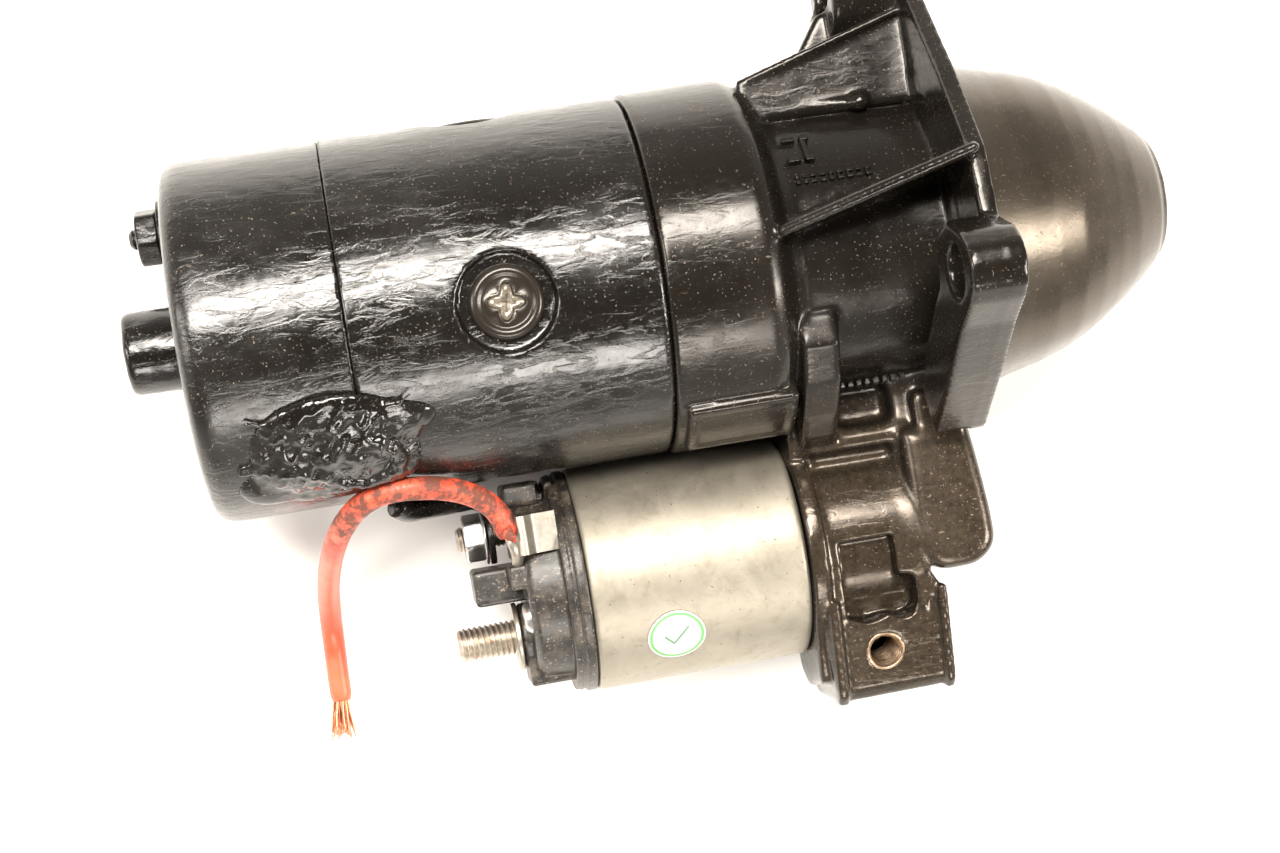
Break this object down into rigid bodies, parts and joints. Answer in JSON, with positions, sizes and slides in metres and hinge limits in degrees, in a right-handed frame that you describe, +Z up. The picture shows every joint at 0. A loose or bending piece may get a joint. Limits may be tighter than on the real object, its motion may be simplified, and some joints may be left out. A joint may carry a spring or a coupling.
{
  "type": "starter motor",
  "caption": "Pre-engaged starter motor: yoke with rear cap, flanged drive-end housing with closed nose, piggyback solenoid with studs, and a cut-off red control lead.",
  "frame": {"origin": "under the middle of the motor, at the level it rests on, leads left out of the measure", "axes": "+X along the armature shaft towards the nose; +Z up from the bench; the solenoid hangs on the -Y side"},
  "size_m": [0.2366, 0.1716, 0.1098],
  "materials": {
    "black_paint": "thick gloss black paint, brushed and run",
    "steel": "worn zinc-plated steel",
    "laminations": "bare electrical steel",
    "tinned": "satin tin plate, scratched",
    "copper": "bare copper",
    "bronze": "sintered bronze",
    "carbon": "copper graphite",
    "black_plastic": "dusty moulded plastic",
    "red_pvc": "soft gloss cable sheath",
    "label": "paper sticker"
  },
  "bodies": {
    "motor_body": {"solenoid_case": "tinned", "solenoid_winding": "copper", "core_stop": "steel", "solenoid_screw_1": "steel", "solenoid_screw_2": "steel", "solenoid_cap": "black_plastic", "battery_stud": "steel", "battery_stud_washer": "steel", "motor_stud": "steel", "motor_stud_nut": "tinned", "spade_terminal": "tinned", "contact_spring": "steel", "plunger_spring": "steel", "sticker": "label", "lever_pin": "steel", "yoke": "black_paint", "pole_shoe_1": "laminations", "field_coil_1": "copper", "pole_screw_1": "steel", "pole_shoe_2": "laminations", "field_coil_2": "copper", "pole_screw_2": "steel", "pole_shoe_3": "laminations", "field_coil_3": "copper", "pole_screw_3": "steel", "pole_shoe_4": "laminations", "field_coil_4": "copper", "pole_screw_4": "steel", "commutator_end_cap": "black_paint", "rear_bush": "bronze", "shaft_end_cap": "black_paint", "brush_plate": "tinned", "brush_1": "carbon", "brush_2": "carbon", "brush_3": "carbon", "brush_4": "carbon", "through_stud_1": "steel", "stud_washer": "steel", "stud_nut": "steel", "through_stud_2": "steel", "drive_end_housing": "black_paint", "nose_bush": "bronze", "red_lead": "red_pvc", "red_lead_strands": "copper", "lead_ferrule": "tinned", "field_lead": "black_paint", "lead_grommet": "black_paint"},
    "armature": {"armature_shaft": "steel", "armature_core": "laminations", "armature_winding": "copper", "commutator": "copper", "stop_ring": "steel"},
    "drive": {"clutch_drive": "steel"},
    "pinion_gear": {"pinion": "steel"},
    "plunger_body": {"plunger": "steel"},
    "lever_body": {"shift_lever": "steel"},
    "contact_body": {"contact_disc": "copper", "contact_rod": "bronze"}
  },
  "joints": [
    {"name": "armature_spin", "type": "hinge", "parent": "motor_body", "child": "armature", "pos_m": [-0.0697, 0.0182, 0.0405], "axis": [1, 0, 0], "continuous": true},
    {"name": "plunger_slide", "type": "slide", "parent": "motor_body", "child": "plunger_body", "axis": [-1, 0, 0], "range_m": [0, 0.01], "stiffness_N_per_m": 2500, "springref_m": -0.004, "deforming": ["plunger_spring"]},
    {"name": "lever_pivot", "type": "hinge", "parent": "motor_body", "child": "lever_body", "pos_m": [0.0523, -0.02089, 0.032], "axis": [0, 0.2124, -0.9772], "range_deg": [0, 19.95]},
    {"name": "drive_slide", "type": "slide", "parent": "armature", "child": "drive", "axis": [1, 0, 0], "range_m": [0, 0.01385]},
    {"name": "pinion_overrun", "type": "hinge", "parent": "drive", "child": "pinion_gear", "pos_m": [0.0803, 0.0182, 0.0405], "axis": [1, 0, 0], "continuous": true},
    {"name": "contact_slide", "type": "slide", "parent": "motor_body", "child": "contact_body", "axis": [-1, 0, 0], "range_m": [0, 0.003], "deforming": ["contact_spring"]}
  ],
  "couplings": [
    {"joint": "drive_slide", "follows": "plunger_slide", "ratio": 1.3847},
    {"joint": "lever_pivot", "follows": "plunger_slide", "rad_per_m": 34.813},
    {"joint": "contact_slide", "follows": "plunger_slide", "ratio": 0.3}
  ]
}
